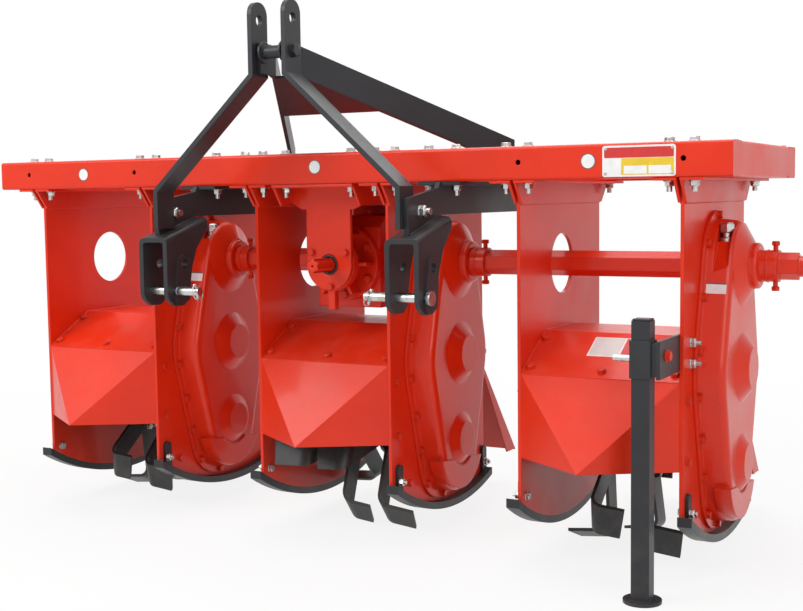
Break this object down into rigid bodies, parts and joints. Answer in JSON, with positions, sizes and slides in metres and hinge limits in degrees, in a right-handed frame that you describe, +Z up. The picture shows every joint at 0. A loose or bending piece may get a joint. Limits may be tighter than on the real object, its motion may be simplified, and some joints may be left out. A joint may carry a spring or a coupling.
{
  "type": "power weeder",
  "caption": "Tractor-mounted rotary weeder: box frame with hitch mast, gear cases, hooded bladed rotors between side plates, hinged rear boards and a sliding parking stand.",
  "frame": {"origin": "bottom centre of the whole machine's bounding box, on the ground it parks on", "axes": "+X across the machine, to the left of the direction of travel; +Y rearward, away from the tractor; +Z up"},
  "size_m": [2.129, 1.004, 1.3073],
  "materials": {
    "red_paint": "gloss orange red enamel",
    "black_paint": "satin textured black enamel",
    "zinc": "bright zinc plate",
    "bare_steel": "machined steel, lightly oiled"
  },
  "bodies": {
    "frame": {"front_beam": "red_paint", "rear_beam": "red_paint", "end_member_l": "red_paint", "end_member_r": "red_paint", "side_plate_a_l": "red_paint", "side_plate_a_r": "red_paint", "hanger_angles_a": "red_paint", "gear_case_a": "red_paint", "hood_a": "red_paint", "bearings_a": "black_paint", "skids_a": "black_paint", "side_plate_b_l": "red_paint", "side_plate_b_r": "red_paint", "hanger_angles_b": "red_paint", "gear_case_b": "red_paint", "hood_b": "red_paint", "bearings_b": "black_paint", "skids_b": "black_paint", "side_plate_c_l": "red_paint", "side_plate_c_r": "red_paint", "hanger_angles_c": "red_paint", "gear_case_c": "red_paint", "hood_c": "red_paint", "bearings_c": "black_paint", "skids_c": "black_paint", "gearbox_hanger": "red_paint", "gearbox": "red_paint", "hitch_rail_l": "black_paint", "clevis_l": "black_paint", "hitch_pin_l": "zinc", "mast_arm_l": "black_paint", "mast_brace_l": "black_paint", "hitch_rail_r": "black_paint", "clevis_r": "black_paint", "hitch_pin_r": "zinc", "mast_arm_r": "black_paint", "mast_brace_r": "black_paint", "mast_bolt": "black_paint", "mast_gusset": "black_paint", "stand_sleeve": "black_paint", "stand_pin": "zinc"},
    "drive": {"drive_shaft": "red_paint"},
    "pto": {"pto_shaft": "bare_steel"},
    "stand": {"stand_leg": "black_paint"},
    "rotor_a": {"rotor_a": "black_paint"},
    "flap_a": {"flap_a": "red_paint"},
    "rotor_b": {"rotor_b": "black_paint"},
    "flap_b": {"flap_b": "red_paint"},
    "rotor_c": {"rotor_c": "black_paint"},
    "flap_c": {"flap_c": "red_paint"}
  },
  "joints": [
    {"name": "rotor_b_spin", "type": "hinge", "parent": "frame", "child": "rotor_b", "pos_m": [-0.0455, -0.029, 0.24933], "axis": [1, 0, 0], "continuous": true},
    {"name": "rotor_a_spin", "type": "hinge", "parent": "frame", "child": "rotor_a", "pos_m": [-0.7605, -0.029, 0.24933], "axis": [1, 0, 0], "continuous": true},
    {"name": "rotor_c_spin", "type": "hinge", "parent": "frame", "child": "rotor_c", "pos_m": [0.6695, -0.029, 0.24933], "axis": [1, 0, 0], "continuous": true},
    {"name": "drive_spin", "type": "hinge", "parent": "frame", "child": "drive", "pos_m": [0.2545, -0.029, 0.69033], "axis": [1, 0, 0], "continuous": true},
    {"name": "pto_spin", "type": "hinge", "parent": "frame", "child": "pto", "pos_m": [-0.0455, -0.265, 0.69033], "axis": [0, 1, 0], "continuous": true},
    {"name": "flap_a_hinge", "type": "hinge", "parent": "frame", "child": "flap_a", "pos_m": [-0.7605, 0.243, 0.42733], "axis": [1, 0, 0], "range_deg": [0, 45]},
    {"name": "flap_b_hinge", "type": "hinge", "parent": "frame", "child": "flap_b", "pos_m": [-0.0455, 0.243, 0.42733], "axis": [1, 0, 0], "range_deg": [0, 45]},
    {"name": "flap_c_hinge", "type": "hinge", "parent": "frame", "child": "flap_c", "pos_m": [0.6695, 0.243, 0.42733], "axis": [1, 0, 0], "range_deg": [0, 45]},
    {"name": "stand_slide", "type": "slide", "parent": "frame", "child": "stand", "axis": [0, 0, 1], "range_m": [0, 0.4]}
  ],
  "couplings": [
    {"joint": "rotor_a_spin", "follows": "rotor_b_spin", "ratio": 1},
    {"joint": "rotor_c_spin", "follows": "rotor_b_spin", "ratio": 1},
    {"joint": "drive_spin", "follows": "rotor_b_spin", "ratio": 1.6667},
    {"joint": "pto_spin", "follows": "rotor_b_spin", "ratio": 2.4444}
  ]
}
